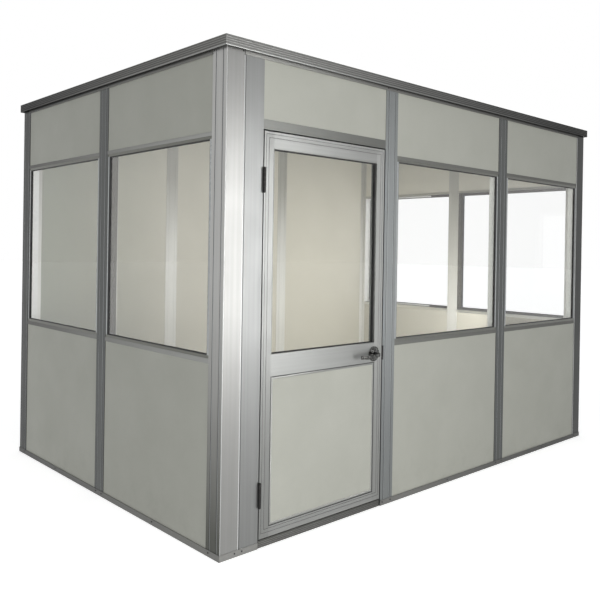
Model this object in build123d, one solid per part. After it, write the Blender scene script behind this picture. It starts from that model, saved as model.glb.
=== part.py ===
from build123d import *
import os

# A modular in-plant office: wall panels held between aluminium posts, on a
# base track and under a cornice, with a glazed door in the first front bay
# and windows in the other front bays and in both end walls.
# Lengths are in millimetres and angles in degrees.
# Frame: origin on the ground in the middle of the footprint, X along the
# front wall from the door towards the far end, Y from front to back, Z up.

# Plan
bay = 1219.0
bay_count_x = 3
bay_count_y = 2
wall_depth = 76.0
skin = 2.5

# Heights
base_track_height = 32.0
track_web = 3.0
panel_top_line = 2442.0
top_track_height = 36.0
cornice_height = 45.0
cornice_lap = 10.0
cornice_overhang = 20.0
cornice_wall = 3.0
cornice_shelf = 70.0

# Posts
post_face = 108.0
post_box = 58.0
groove_width = 4.0
groove_depth = 1.2
corner_face = 112.0
corner_band = 27.0
corner_round = 4.0

# Windows
sill_top = 960.0
sill_face = 25.0
head_bottom = 2047.0
head_face = 20.0
rail_lap = 10.0
closure_wall = 2.0
frame_joint = 0.4
stop_face = 15.0
stop_recess = 2.0
stop_depth = 8.0
stop_joint = 2.0
glass_thickness = 6.0

# Door opening and leaf
door_jamb_left = 235.0
jamb_joint = 7.0
door_head_bottom = 2097.0
door_head_face = 50.0
hinge_gap = 7.0
latch_gap = 9.0
head_gap = 7.0
leaf_bottom = 45.0
leaf_thickness = 44.0
stop_gap = 5.0
stop_reach = 12.0
threshold_height = 38.0
threshold_setback = 4.0
threshold_end_gap = 6.0
stile_face = 65.0
top_rail_face = 85.0
lock_rail_drop = 50.0
lock_rail_rise = 65.0
bottom_rail_face = 55.0
door_wall = 3.0
door_panel_inset = 3.0
gasket_face = 5.0
gasket_depth = 6.0

# Hinges
hinge_height = 120.0
upper_hinge_bottom = 1784.0
lower_hinge_bottom = 207.0
knuckle_radius = 7.5
knuckle_stand_off = 0.5
knuckle_count = 5
knuckle_gap = 0.5
pin_radius = 4.0
pin_clearance = 0.08
pin_tip = 3.0
hinge_leaf_thickness = 2.5
hinge_leaf_depth = 36.0
hinge_leaf_clearance = 0.3

# Lock
lock_height = 902.0
backset = 68.0
lock_bore_radius = 27.0
chassis_clearance = 0.5
rose_radius = 43.0
rose_rim = 4.0
rose_dome_radius = 29.0
rose_height = 10.0
spindle_radius = 6.0
spindle_clearance = 0.5
lever_neck_radius = 11.0
lever_collar_height = 14.0
lever_gap = 0.8
lever_reach = 140.0
lever_droop = 8.0
lever_stand_off = 60.0
lever_bend = 16.0
lever_return = 22.0
lever_return_run = 40.0
lever_return_bend = 30.0
spindle_seat = 8.0
lever_grip_height = 20.0
lever_grip_depth = 12.0
lever_round = 4.0
strike_height = 83.0
strike_plate_thickness = 1.5
strike_lip = 9.0
strike_overhang = 2.0
strike_depth = 30.0
keeper_height = 26.0
keeper_depth = 14.0

# Roof deck
deck_sheet = 1.5
deck_pitch_target = 152.0
deck_crest_share = 0.55
deck_slope_run = 16.0
deck_edge_gap = 3.0

# How far a cutting block runs past the face it cuts
cut_margin = 1.0

length = bay_count_x * bay
width = bay_count_y * bay
track_top = panel_top_line + top_track_height
post_bottom = track_web
post_top = track_top - track_web
cornice_bottom = track_top - cornice_lap
cornice_top = cornice_bottom + cornice_height
half_post = post_face / 2
half_box = post_box / 2
door_jamb_right = bay - half_post
leaf_left = door_jamb_left + hinge_gap
leaf_right = door_jamb_right - latch_gap
leaf_top = door_head_bottom - head_gap
leaf_height = leaf_top - leaf_bottom
hinge_axis_u = door_jamb_left + hinge_gap / 2
hinge_axis_v = -(knuckle_radius + knuckle_stand_off)
lock_u = leaf_right - backset
lock_rail_bottom = lock_height - lock_rail_drop
lock_rail_top = lock_height + lock_rail_rise


# Each wall is drawn in its own frame: u along the wall from its left end as
# seen from outside, v inwards from the outer face, z up.
walls = {
    "front": Location((-length / 2, -width / 2, 0), (0, 0, 0)),
    "right": Location((length / 2, -width / 2, 0), (0, 0, 90)),
    "back": Location((length / 2, width / 2, 0), (0, 0, 180)),
    "left": Location((-length / 2, width / 2, 0), (0, 0, 270)),
}


def block(u0, u1, v0, v1, z0, z1):
    return Pos((u0 + u1) / 2, (v0 + v1) / 2, (z0 + z1) / 2) * Box(u1 - u0, v1 - v0, z1 - z0)


def plan(u0, u1, v0, v1):
    return Pos((u0 + u1) / 2, (v0 + v1) / 2) * Rectangle(u1 - u0, v1 - v0)


def tube(u0, u1, v0, v1, wall):
    return plan(u0, u1, v0, v1) - plan(u0 + wall, u1 - wall, v0 + wall, v1 - wall)


def upright(section, z0, z1):
    return Pos(0, 0, z0) * extrude(section, amount=z1 - z0)


def rail(section, u0, u1):
    # A section drawn with v across and z up, run along the wall.
    turned = Plane(origin=(u0, 0, 0), x_dir=(0, 1, 0), z_dir=(1, 0, 0)) * section
    return extrude(turned, amount=u1 - u0, dir=(1, 0, 0))


def grooves(centre, face_v, side):
    # Shallow vertical flutes either side of a post's middle band.
    cuts = []
    for edge in (-half_box, half_box):
        u = centre + edge
        depth = face_v + side * groove_depth
        low, high = sorted((face_v, depth))
        cuts.append(plan(u - groove_width / 2, u + groove_width / 2, low, high))
    return cuts


def post_section(centre):
    # A hollow box with a flange lapping each neighbouring panel, inside and out.
    section = tube(centre - half_box, centre + half_box, 0, wall_depth, skin)
    section += plan(centre - half_post, centre + half_post, 0, skin)
    section += plan(centre - half_post, centre + half_post, wall_depth - skin, wall_depth)
    for cut in grooves(centre, 0, 1) + grooves(centre, wall_depth, -1):
        section -= cut
    return section


def post(centre):
    return upright(post_section(centre), post_bottom, post_top)


def corner_post(starts_long_wall):
    # A square box on the corner with a pair of flanges along each wall. Its
    # face on the end wall is fluted, and its face on the long wall is plain.
    section = plan(0, wall_depth, 0, wall_depth)
    section += plan(0, corner_face, 0, skin)
    section += plan(0, corner_face, wall_depth - skin, wall_depth)
    section += plan(0, skin, 0, corner_face)
    section += plan(wall_depth - skin, wall_depth, 0, corner_face)
    section -= plan(skin, wall_depth - skin, skin, wall_depth - skin)
    for middle in (corner_band, corner_face - corner_band):
        low = middle - groove_width / 2
        high = middle + groove_width / 2
        if starts_long_wall:
            section -= plan(0, groove_depth, low, high)
        else:
            section -= plan(low, high, 0, groove_depth)
    body = upright(section, post_bottom, post_top)
    outer = body.edges().filter_by(Axis.Z).sort_by(lambda e: e.center().X + e.center().Y)[0]
    return fillet(outer, corner_round)


def ring(z0, z1, outside, inside):
    # A rectangular ring that follows the wall's outer face at two offsets.
    outer = Rectangle(length + 2 * outside, width + 2 * outside)
    inner = Rectangle(length + 2 * inside, width + 2 * inside)
    return Pos(0, 0, z0) * extrude(outer - inner, amount=z1 - z0)


def mitre(name):
    # The part of the plan that one wall's length of a mitred ring takes.
    margin = cornice_overhang + wall_depth
    run = length if name in ("front", "back") else width
    cut = wall_depth * 2
    corners = [(-margin, -margin), (run + margin, -margin), (run - cut, cut), (cut, cut)]
    section = make_face(Polyline(*corners, close=True))
    return walls[name] * upright(section, -cut, cornice_top + cut)


def base_track(name):
    outer_flange = ring(0, base_track_height, skin, 0)
    inner_flange = ring(0, base_track_height, -wall_depth, -wall_depth - skin)
    web = ring(0, track_web, skin, -wall_depth - skin)
    track = (outer_flange + inner_flange + web) & mitre(name)
    if name == "front":
        gap = block(door_jamb_left, door_jamb_right, -wall_depth, 2 * wall_depth, -cut_margin, leaf_bottom)
        track -= walls[name] * gap
    return track


def top_track(name):
    outer_flange = ring(panel_top_line, track_top, skin, 0)
    inner_flange = ring(panel_top_line, track_top, -wall_depth, -wall_depth - skin)
    web = ring(post_top, track_top, skin, -wall_depth - skin)
    run = length if name in ("front", "back") else width
    track = (outer_flange + inner_flange + web) & mitre(name)
    for u0, u1 in ((-wall_depth, corner_face), (run - corner_face, run + wall_depth)):
        end = block(u0, u1, -wall_depth, 2 * wall_depth, panel_top_line, post_top)
        track -= walls[name] * end
    return track


def cornice(name):
    fascia = ring(cornice_bottom, cornice_top, cornice_overhang, cornice_overhang - cornice_wall)
    lip = ring(cornice_bottom, cornice_bottom + cornice_wall, cornice_overhang, skin)
    shelf = ring(cornice_top - cornice_wall, cornice_top, cornice_overhang, -cornice_shelf)
    return (fascia + lip + shelf) & mitre(name)


def roof_deck():
    # A ribbed sheet that spans from front to back, its ribs side by side along X.
    z_low = track_top
    z_high = cornice_top - cornice_wall - deck_sheet
    run = length - 2 * deck_edge_gap
    count = round(run / deck_pitch_target)
    pitch = run / count
    crest = pitch * deck_crest_share - deck_slope_run
    trough = pitch - crest - 2 * deck_slope_run
    line = [(-run / 2, z_low)]
    for i in range(count):
        start = -run / 2 + i * pitch + trough / 2
        line.append((start, z_low))
        line.append((start + deck_slope_run, z_high))
        line.append((start + deck_slope_run + crest, z_high))
        line.append((start + 2 * deck_slope_run + crest, z_low))
    line.append((run / 2, z_low))
    upper = [(x, z + deck_sheet) for x, z in reversed(line)]
    section = make_face(Polyline(*(line + upper), close=True))
    depth = width - 2 * deck_edge_gap
    placed = Plane(origin=(0, -depth / 2, 0), x_dir=(1, 0, 0), z_dir=(0, -1, 0)) * section
    return extrude(placed, amount=-depth)


def panel(u0, u1, z0, z1):
    return block(u0, u1, skin, wall_depth - skin, z0, z1)


def flanged_rail(z0, z1, lap_below, lap_above):
    # Two face strips joined by a box; the strips lap a panel above or below.
    low = z0 + lap_below
    high = z1 - lap_above
    section = tube(0, wall_depth, low, high, skin)
    section += plan(0, skin, z0, z1)
    section += plan(wall_depth - skin, wall_depth, z0, z1)
    return section


sill_rail = flanged_rail(sill_top - sill_face, sill_top, rail_lap, 0)
head_rail = flanged_rail(head_bottom, head_bottom + head_face, 0, rail_lap)
door_head_rail = flanged_rail(door_head_bottom, door_head_bottom + door_head_face, 0, rail_lap)


def window_closures(u0, u1):
    # Channels that close the posts' grooves beside the glass.
    z0 = sill_top + frame_joint
    z1 = head_bottom - frame_joint
    v0 = skin
    v1 = wall_depth - skin
    reach = half_post - half_box
    low = v0 + closure_wall
    high = v1 - closure_wall
    left = plan(u0 - reach, u0, v0, v1) - plan(u0 - reach, u0 - closure_wall, low, high)
    right = plan(u1, u1 + reach, v0, v1) - plan(u1 + closure_wall, u1 + reach, low, high)
    return [upright(left, z0, z1), upright(right, z0, z1)]


def picture_frame(u0, u1, z0, z1, face, v0, v1):
    hole = block(u0 + face, u1 - face, v0, v1, z0 + face, z1 - face)
    return block(u0, u1, v0, v1, z0, z1) - hole


def glazing(u0, u1):
    glass_v = stop_recess + stop_depth
    inner_v = glass_v + glass_thickness
    low = sill_top + frame_joint
    high = head_bottom - frame_joint
    pane = block(u0 + frame_joint, u1 - frame_joint, glass_v, inner_v, low, high)
    edges = (u0 + stop_joint, u1 - stop_joint, sill_top, head_bottom, stop_face)
    outer = picture_frame(*edges, stop_recess, glass_v)
    inner = picture_frame(*edges, inner_v, inner_v + stop_depth)
    return pane, [outer, inner]


def window_bay(u0, u1, channel_left, channel_right):
    # u0 and u1 are the free edges of the neighbouring post faces; the channels
    # are where the panel edges stop inside the posts.
    rails = [rail(sill_rail, u0, u1), rail(head_rail, u0, u1)]
    lower = panel(channel_left, channel_right, track_web, sill_top - sill_face + rail_lap)
    upper = panel(channel_left, channel_right, head_bottom + head_face - rail_lap, post_top)
    pane, stops = glazing(u0, u1)
    return rails + window_closures(u0, u1), [lower, upper], pane, stops


def bay_edges(index, count):
    # Free post edges and channel ends of one bay of a wall with count bays.
    run = count * bay
    u0 = corner_face if index == 0 else index * bay + half_post
    u1 = run - corner_face if index == count - 1 else (index + 1) * bay - half_post
    c0 = wall_depth if index == 0 else index * bay + half_box
    c1 = run - wall_depth if index == count - 1 else (index + 1) * bay - half_box
    return u0, u1, c0, c1


def window_wall(name, first, count):
    frames, panels, panes, stops = [], [], [], []
    for index in range(first, count):
        bay_frames, bay_panels, pane, bay_stops = window_bay(*bay_edges(index, count))
        frames += bay_frames
        panels += bay_panels
        panes.append(pane)
        stops += bay_stops
    return {
        f"{name}_window_frames": place(name, frames),
        f"{name}_wall_panels": place(name, panels),
        f"{name}_window_glass": place(name, panes),
        f"{name}_glazing_stops": place(name, stops),
    }


def place(name, pieces):
    return Compound(children=[walls[name] * piece for piece in pieces])


def back_wall_pieces():
    panels = []
    for index in range(bay_count_x):
        _, _, c0, c1 = bay_edges(index, bay_count_x)
        panels.append(panel(c0, c1, track_web, post_top))
    posts = [post(bay * (index + 1)) for index in range(bay_count_x - 1)]
    return {
        "back_wall_panels": place("back", panels),
        "back_wall_posts": place("back", posts),
    }


def hinge_jamb():
    # The jamb beside the corner post, with a tongue in the post's channel and
    # a stop behind the door leaf.
    face_left = corner_face + jamb_joint
    stop_v = leaf_thickness + stop_gap
    outline = plan(face_left, door_jamb_left, 0, wall_depth)
    outline += plan(wall_depth, face_left, skin, wall_depth - skin)
    hollow = plan(face_left + skin, door_jamb_left - skin, skin, wall_depth - skin)
    hollow += plan(wall_depth + skin, face_left + skin, 2 * skin, wall_depth - 2 * skin)
    stop = plan(door_jamb_left, door_jamb_left + stop_reach, stop_v, wall_depth)
    stop -= plan(door_jamb_left, door_jamb_left + stop_reach - skin, stop_v + skin, wall_depth - skin)
    body = upright(outline - hollow, post_bottom, post_top)
    return body + upright(stop, threshold_height, door_head_bottom)


def latch_jamb():
    # Closes the channel of the post on the latch side and carries the stop.
    post_web = bay - half_box
    stop_v = leaf_thickness + stop_gap
    v1 = wall_depth - skin
    z1 = door_head_bottom - frame_joint
    jamb = upright(tube(door_jamb_right, post_web, skin, v1, skin), post_bottom, z1)
    stop = plan(door_jamb_right - stop_reach, door_jamb_right, stop_v, v1)
    stop -= plan(door_jamb_right - stop_reach + skin, door_jamb_right, stop_v + skin, v1 - skin)
    jamb += upright(stop, threshold_height, z1)
    plate = block(door_jamb_right, door_jamb_right + strike_plate_thickness, 0, strike_depth, *strike_span())
    keeper = keeper_hole()
    return jamb - plate - keeper


def strike_span():
    return lock_height - strike_height / 2, lock_height + strike_height / 2


def keeper_hole():
    v0 = (strike_depth - keeper_depth) / 2 + skin
    low = lock_height - keeper_height / 2
    deep = door_jamb_right + strike_plate_thickness + skin
    return block(door_jamb_right - cut_margin, deep, v0, v0 + keeper_depth, low, low + keeper_height)


def strike_plate():
    # A flat plate let into the jamb, with a lip over the post's front face.
    low, high = strike_span()
    inset = door_jamb_right + strike_plate_thickness
    plate = block(door_jamb_right, inset, 0, strike_depth, low, high)
    lip_left = door_jamb_right - strike_overhang
    lip = block(lip_left, lip_left + strike_lip, -strike_plate_thickness, 0, low, high)
    return plate + lip - keeper_hole()


def latch_post():
    # The post on the latch side; its front flange makes room for the strike.
    body = upright(post_section(bay), post_bottom, post_top)
    low, high = strike_span()
    return body - block(door_jamb_right, door_jamb_right + strike_plate_thickness, 0, skin, low, high)


def door_head():
    stop_v = leaf_thickness + stop_gap
    stop = plan(stop_v, wall_depth, door_head_bottom - stop_reach, door_head_bottom)
    section = door_head_rail + stop
    body = rail(section, door_jamb_left, door_jamb_right)
    low = door_head_bottom - stop_reach
    for u0 in (door_jamb_left, door_jamb_right - stop_reach):
        body -= block(u0, u0 + stop_reach, stop_v, wall_depth, low, door_head_bottom)
    return body


def transom_panel():
    low = door_head_bottom + door_head_face - rail_lap
    return panel(door_jamb_left, bay - half_box, low, post_top)


def threshold():
    section = tube(threshold_setback, wall_depth - threshold_setback, 0, threshold_height, skin)
    left = door_jamb_left + threshold_end_gap
    right = door_jamb_right - threshold_end_gap
    return rail(section, left, right)


def door_stile(u0):
    body = upright(tube(u0, u0 + stile_face, 0, leaf_thickness, door_wall), leaf_bottom, leaf_top)
    cap = block(u0, u0 + stile_face, 0, leaf_thickness, leaf_bottom, leaf_bottom + door_wall)
    return body + cap + Pos(0, 0, leaf_height - door_wall) * cap


def lock_bore(radius):
    drill = Pos(lock_u, leaf_thickness / 2, lock_height) * Rot(90, 0, 0)
    return drill * Cylinder(radius, leaf_thickness * 2)


def door_rail(z0, z1):
    u0 = leaf_left + stile_face
    u1 = leaf_right - stile_face
    return rail(tube(0, leaf_thickness, z0, z1, door_wall), u0, u1)


def door_frame_pieces():
    stiles = [door_stile(leaf_left), door_stile(leaf_right - stile_face) - lock_bore(lock_bore_radius)]
    top = door_rail(leaf_top - top_rail_face, leaf_top)
    middle = door_rail(lock_rail_bottom, lock_rail_top) - lock_bore(lock_bore_radius)
    bottom = door_rail(leaf_bottom, leaf_bottom + bottom_rail_face)
    return stiles, [top, middle, bottom]


def door_infill():
    u0 = leaf_left + stile_face
    u1 = leaf_right - stile_face
    z0 = leaf_bottom + bottom_rail_face
    glass_low = lock_rail_top
    glass_high = leaf_top - top_rail_face
    v0 = door_panel_inset
    sheet = block(u0, u1, v0, leaf_thickness - v0, z0, lock_rail_bottom)
    glass_front = (leaf_thickness - glass_thickness) / 2
    glass_back = glass_front + glass_thickness
    pane = block(u0, u1, glass_front, glass_back, glass_low, glass_high)
    edges = (u0, u1, glass_low, glass_high, gasket_face)
    outer = picture_frame(*edges, glass_front - gasket_depth, glass_front)
    inner = picture_frame(*edges, glass_back, glass_back + gasket_depth)
    return sheet, pane, [outer, inner]


def knuckle_spans(bottom):
    each = hinge_height / knuckle_count
    spans = []
    for index in range(knuckle_count):
        low = bottom + index * each + knuckle_gap / 2
        spans.append((low, low + each - knuckle_gap))
    return spans


def barrel(span, bore):
    low, high = span
    section = Pos(hinge_axis_u, hinge_axis_v) * (Circle(knuckle_radius) - Circle(bore))
    return upright(section, low, high)


def hinge_tab(span, u0, u1, v1, bore):
    low, high = span
    strip = plan(u0, u1, hinge_axis_v, v1) - Pos(hinge_axis_u, hinge_axis_v) * Circle(bore)
    return upright(strip, low, high)


def frame_hinge(bottom):
    # Plate on the jamb, every other knuckle, and the pin.
    u0 = door_jamb_left
    u1 = u0 + hinge_leaf_thickness
    body = block(u0, u1, hinge_leaf_clearance, hinge_leaf_depth, bottom, bottom + hinge_height)
    for span in knuckle_spans(bottom)[0::2]:
        body += barrel(span, pin_radius - pin_clearance)
        body += hinge_tab(span, u0, u1, hinge_leaf_clearance, pin_radius - pin_clearance)
    pin = Pos(hinge_axis_u, hinge_axis_v) * Circle(pin_radius)
    return body + upright(pin, bottom - pin_tip, bottom + hinge_height + pin_tip)


def leaf_hinge(bottom):
    # Plate on the door's edge and the knuckles between the frame's.
    u1 = leaf_left
    u0 = u1 - hinge_leaf_thickness
    bore = pin_radius + pin_clearance
    body = block(u0, u1, hinge_leaf_clearance, hinge_leaf_depth, bottom, bottom + hinge_height)
    for span in knuckle_spans(bottom)[1::2]:
        body += barrel(span, bore)
        body += hinge_tab(span, u0, u1, hinge_leaf_clearance, bore)
    return body


def rose():
    # Half section of the stepped rose, turned about the spindle's axis.
    inner = spindle_radius + spindle_clearance
    points = [
        (inner, 0),
        (rose_radius, 0),
        (rose_radius, rose_rim),
        (rose_dome_radius, rose_rim),
        (lever_neck_radius + rose_rim, rose_height),
        (inner, rose_height),
    ]
    profile = Plane.XZ * make_face(Polyline(*points, close=True))
    return revolve(profile, axis=Axis.Z)


def lock_set():
    # Outer and inner roses on a round chassis that fills the door's bore.
    outer = Pos(lock_u, 0, lock_height) * Rot(90, 0, 0) * rose()
    inner = Pos(lock_u, leaf_thickness, lock_height) * Rot(-90, 0, 0) * rose()
    chassis = lock_bore(lock_bore_radius - chassis_clearance) - lock_bore(spindle_radius + spindle_clearance)
    chassis &= block(leaf_left, leaf_right, 0, leaf_thickness, leaf_bottom, leaf_top)
    return outer + inner + chassis


def lever_handle():
    # A round collar on the rose, and a flat grip that bends out of it along the door.
    start = rose_height + lever_gap
    centre = lever_stand_off - lever_grip_depth / 2
    turn = (lever_return_run - lever_reach, -lever_droop, centre)
    tip = (-lever_reach, -lever_droop, centre - lever_return)
    radii = [lever_bend, lever_return_bend]
    path = FilletPolyline((0, 0, start), (0, 0, centre), turn, tip, radius=radii)
    section = Pos(0, 0, start) * RectangleRounded(lever_grip_depth, lever_grip_height, lever_round)
    collar = extrude(Pos(0, 0, start) * Circle(lever_neck_radius), amount=lever_collar_height)
    return sweep(section, path) + collar


def lever():
    outer = Pos(lock_u, 0, lock_height) * Rot(90, 0, 0) * lever_handle()
    inner = mirror(outer, about=Plane(origin=(0, leaf_thickness / 2, 0), z_dir=(0, 1, 0)))
    reach = leaf_thickness + 2 * (rose_height + lever_gap + spindle_seat)
    spindle = Pos(lock_u, leaf_thickness / 2, lock_height) * Rot(90, 0, 0) * Cylinder(spindle_radius, reach)
    return outer + inner + spindle


def door_pieces():
    stiles, rails = door_frame_pieces()
    sheet, pane, gaskets = door_infill()
    leaf_hinges = [leaf_hinge(upper_hinge_bottom), leaf_hinge(lower_hinge_bottom)]
    frame_hinges = [frame_hinge(upper_hinge_bottom), frame_hinge(lower_hinge_bottom)]
    return {
        "door_stiles": place("front", stiles),
        "door_rails": place("front", rails),
        "door_lower_panel": place("front", [sheet]),
        "door_glass": place("front", [pane]),
        "door_glass_gaskets": place("front", gaskets),
        "door_hinge_leaves": place("front", leaf_hinges),
        "frame_hinge_leaves": place("front", frame_hinges),
        "door_lock": place("front", [lock_set()]),
        "door_lever": place("front", [lever()]),
    }


def build_nodes():
    nodes = {}
    for name in walls:
        nodes[f"base_track_{name}"] = base_track(name)
        nodes[f"top_track_{name}"] = top_track(name)
        nodes[f"cornice_{name}"] = cornice(name)
    corners = {"front": "front_left", "right": "front_right", "back": "back_right", "left": "back_left"}
    for name, corner in corners.items():
        starts_long_wall = name in ("front", "back")
        nodes[f"corner_post_{corner}"] = walls[name] * corner_post(starts_long_wall)
    nodes["front_post"] = walls["front"] * post(2 * bay)
    nodes["latch_post"] = walls["front"] * latch_post()
    nodes["right_wall_post"] = walls["right"] * post(bay)
    nodes["left_wall_post"] = walls["left"] * post(bay)
    nodes["door_hinge_jamb"] = walls["front"] * hinge_jamb()
    nodes["door_latch_jamb"] = walls["front"] * latch_jamb()
    nodes["door_head"] = walls["front"] * door_head()
    nodes["door_transom_panel"] = walls["front"] * transom_panel()
    nodes["door_threshold"] = walls["front"] * threshold()
    nodes["strike_plate"] = walls["front"] * strike_plate()
    nodes.update(window_wall("front", 1, bay_count_x))
    nodes.update(window_wall("right", 0, bay_count_y))
    nodes.update(window_wall("left", 0, bay_count_y))
    nodes.update(back_wall_pieces())
    nodes["roof_deck"] = roof_deck()
    nodes.update(door_pieces())
    return nodes


os.makedirs("parts", exist_ok=True)
for node, shape in build_nodes().items():
    export_step(shape, f"parts/{node}.step")
print("door hinge axis", hinge_axis_u - length / 2, hinge_axis_v - width / 2)
print("lever axis", lock_u - length / 2, lock_height)
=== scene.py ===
import math
import random

import bmesh
import bpy
from mathutils import Matrix, Vector


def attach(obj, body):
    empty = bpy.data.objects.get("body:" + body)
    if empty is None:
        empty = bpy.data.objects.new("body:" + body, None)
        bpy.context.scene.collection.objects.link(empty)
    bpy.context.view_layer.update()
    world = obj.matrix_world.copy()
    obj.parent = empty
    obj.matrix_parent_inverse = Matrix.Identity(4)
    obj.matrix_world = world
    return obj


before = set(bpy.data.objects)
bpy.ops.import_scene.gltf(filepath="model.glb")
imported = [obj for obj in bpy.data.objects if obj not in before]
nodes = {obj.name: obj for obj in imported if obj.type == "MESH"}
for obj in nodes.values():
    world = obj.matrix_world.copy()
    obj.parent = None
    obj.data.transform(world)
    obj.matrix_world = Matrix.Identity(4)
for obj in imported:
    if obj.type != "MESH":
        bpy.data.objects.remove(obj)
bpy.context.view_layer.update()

scene = bpy.context.scene

# Sizes that the pieces below share with the CAD source, in metres. On a wall, u runs from its left end
# as seen from outside, v inwards from its outer face, and z up.
LENGTH = 3.657
WIDTH = 2.438
BAY = 1.219
BAYS = {"front": 3, "right": 2, "back": 3, "left": 2}
DEPTH = 0.076  # a wall
SKIN = 0.0025  # an extrusion's wall, and how far the tracks stand outside the panels
HALF_POST = 0.054  # half a wall post with its flanges
HALF_BOX = 0.029  # half a wall post's box
CORNER = 0.112  # a corner post's face
TRACK_Z = 0.032  # top of the base track
TOP_LINE = 2.442  # foot of the top track
POST_TOP = 2.474
CORNER_FLUTE_TOP = 2.466

SILL = 0.960
HEAD = 2.047
STOP_SIDE = 0.017  # width of a glazing stop beside the glass
STOP_RISE = 0.015  # and over or under it

JAMB_LEFT = 0.235
JAMB_RIGHT = 1.165
HEAD_BOTTOM = 2.097
LEAF_LEFT = 0.242
LEAF_RIGHT = 1.156
LEAF_BOTTOM = 0.045
LEAF_TOP = 2.090
STILE = 0.065
DOOR_GLASS = (LEAF_LEFT + STILE, LEAF_RIGHT - STILE, 0.967, LEAF_TOP - 0.085)
DOOR_PANEL = (LEAF_LEFT + STILE, LEAF_RIGHT - STILE, 0.100, 0.852)
HINGE_BOTTOMS = (1.784, 0.207)
HINGE_HEIGHT = 0.120
PIN_U, PIN_V = 0.2385, -0.008
LOCK_Z = 0.902

CORNICE_OUT = 0.019  # where the lines stand on the fascia, outside the walls
CORNICE_LINES = (2.4790, 2.4900, 2.5010)
LIP_Z = 2.4658
DECK_RUN = LENGTH - 0.006
DECK_RIBS = round(DECK_RUN / 0.152)
DECK_PITCH = DECK_RUN / DECK_RIBS
DECK_Z = 2.4795  # floor of the deck's troughs

WALL_NORMAL = {
    "front": Vector((0, -1, 0)),
    "right": Vector((1, 0, 0)),
    "back": Vector((0, 1, 0)),
    "left": Vector((-1, 0, 0)),
}


# ---------------------------------------------------------------- walls
def wall_point(wall, u, v, z):
    """The point at u, v and z of a wall, in the part's frame."""
    if wall == "front":
        return Vector((-LENGTH / 2 + u, -WIDTH / 2 + v, z))
    if wall == "right":
        return Vector((LENGTH / 2 - v, -WIDTH / 2 + u, z))
    if wall == "back":
        return Vector((LENGTH / 2 - u, WIDTH / 2 - v, z))
    return Vector((-LENGTH / 2 + v, WIDTH / 2 - u, z))


def bay_edges(wall, index):
    """The left and right edges of what shows of a bay between its posts."""
    count = BAYS[wall]
    u0 = CORNER if index == 0 else index * BAY + HALF_POST
    u1 = count * BAY - CORNER if index == count - 1 else (index + 1) * BAY - HALF_POST
    return u0, u1


def windows(wall):
    """The edges of each window; the front wall's first bay has the door instead."""
    first = 1 if wall == "front" else 0
    return [bay_edges(wall, index) for index in range(first, BAYS[wall])]


# ---------------------------------------------------------------- node helpers
class Graph:
    """A material's node tree with short calls for the nodes used here."""

    def __init__(self, name):
        self.material = bpy.data.materials.new(name)
        self.material.use_nodes = True
        self.tree = self.material.node_tree
        self.tree.nodes.clear()
        out = self.tree.nodes.new("ShaderNodeOutputMaterial")
        self.shader = self.tree.nodes.new("ShaderNodeBsdfPrincipled")
        self.link(self.shader.outputs[0], out.inputs[0])
        self.coords = self.tree.nodes.new("ShaderNodeTexCoord").outputs["Object"]

    def link(self, a, b):
        self.tree.links.new(a, b)

    def put(self, socket, value):
        if isinstance(value, (int, float, tuple)):
            socket.default_value = value
        else:
            self.link(value, socket)

    def set(self, **values):
        """Sets or links the shader's inputs by name, with _ for a space."""
        for name, value in values.items():
            self.put(self.shader.inputs[name.replace("_", " ")], value)

    def scaled(self, scale):
        node = self.tree.nodes.new("ShaderNodeMapping")
        self.link(self.coords, node.inputs["Vector"])
        node.inputs["Scale"].default_value = scale
        return node.outputs[0]

    def noise(self, scale, detail, rough, stretch=(1, 1, 1), distortion=0.0):
        node = self.tree.nodes.new("ShaderNodeTexNoise")
        self.link(self.scaled(stretch), node.inputs["Vector"])
        node.inputs["Scale"].default_value = scale
        node.inputs["Detail"].default_value = detail
        node.inputs["Roughness"].default_value = rough
        node.inputs["Distortion"].default_value = distortion
        return node.outputs[0]

    def cells(self, scale, out):
        node = self.tree.nodes.new("ShaderNodeTexVoronoi")
        self.link(self.scaled((1, 1, 1)), node.inputs["Vector"])
        node.inputs["Scale"].default_value = scale
        return node.outputs[out]

    def span(self, value, from_low, from_high, to_low, to_high):
        node = self.tree.nodes.new("ShaderNodeMapRange")
        self.put(node.inputs["Value"], value)
        node.inputs["From Min"].default_value = from_low
        node.inputs["From Max"].default_value = from_high
        node.inputs["To Min"].default_value = to_low
        node.inputs["To Max"].default_value = to_high
        return node.outputs[0]

    def math(self, kind, a, b=0.0):
        node = self.tree.nodes.new("ShaderNodeMath")
        node.operation = kind
        self.put(node.inputs[0], a)
        self.put(node.inputs[1], b)
        return node.outputs[0]

    def axes(self):
        node = self.tree.nodes.new("ShaderNodeSeparateXYZ")
        self.link(self.coords, node.inputs[0])
        return node.outputs[0], node.outputs[1], node.outputs[2]

    def mix(self, factor, a, b, kind="MIX"):
        node = self.tree.nodes.new("ShaderNodeMix")
        node.data_type = "RGBA"
        node.blend_type = kind
        self.put(node.inputs[0], factor)
        self.put(node.inputs[6], a)
        self.put(node.inputs[7], b)
        return node.outputs[2]

    def bump(self, height, strength, distance, normal=None):
        node = self.tree.nodes.new("ShaderNodeBump")
        node.inputs["Strength"].default_value = strength
        node.inputs["Distance"].default_value = distance
        self.link(height, node.inputs["Height"])
        if normal is not None:
            self.link(normal, node.inputs["Normal"])
        return node.outputs[0]

    def soft_edge(self, radius):
        node = self.tree.nodes.new("ShaderNodeBevel")
        node.samples = 4
        node.inputs["Radius"].default_value = radius
        return node.outputs[0]


def srgb(r, g, b):
    """A colour given as 0 to 255, as linear light with alpha."""
    out = []
    for c in (r, g, b):
        c = c / 255
        out.append(c / 12.92 if c <= 0.04045 else ((c + 0.055) / 1.055) ** 2.4)
    return (*out, 1.0)


def grey(value):
    return (value, value, value, 1.0)


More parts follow.
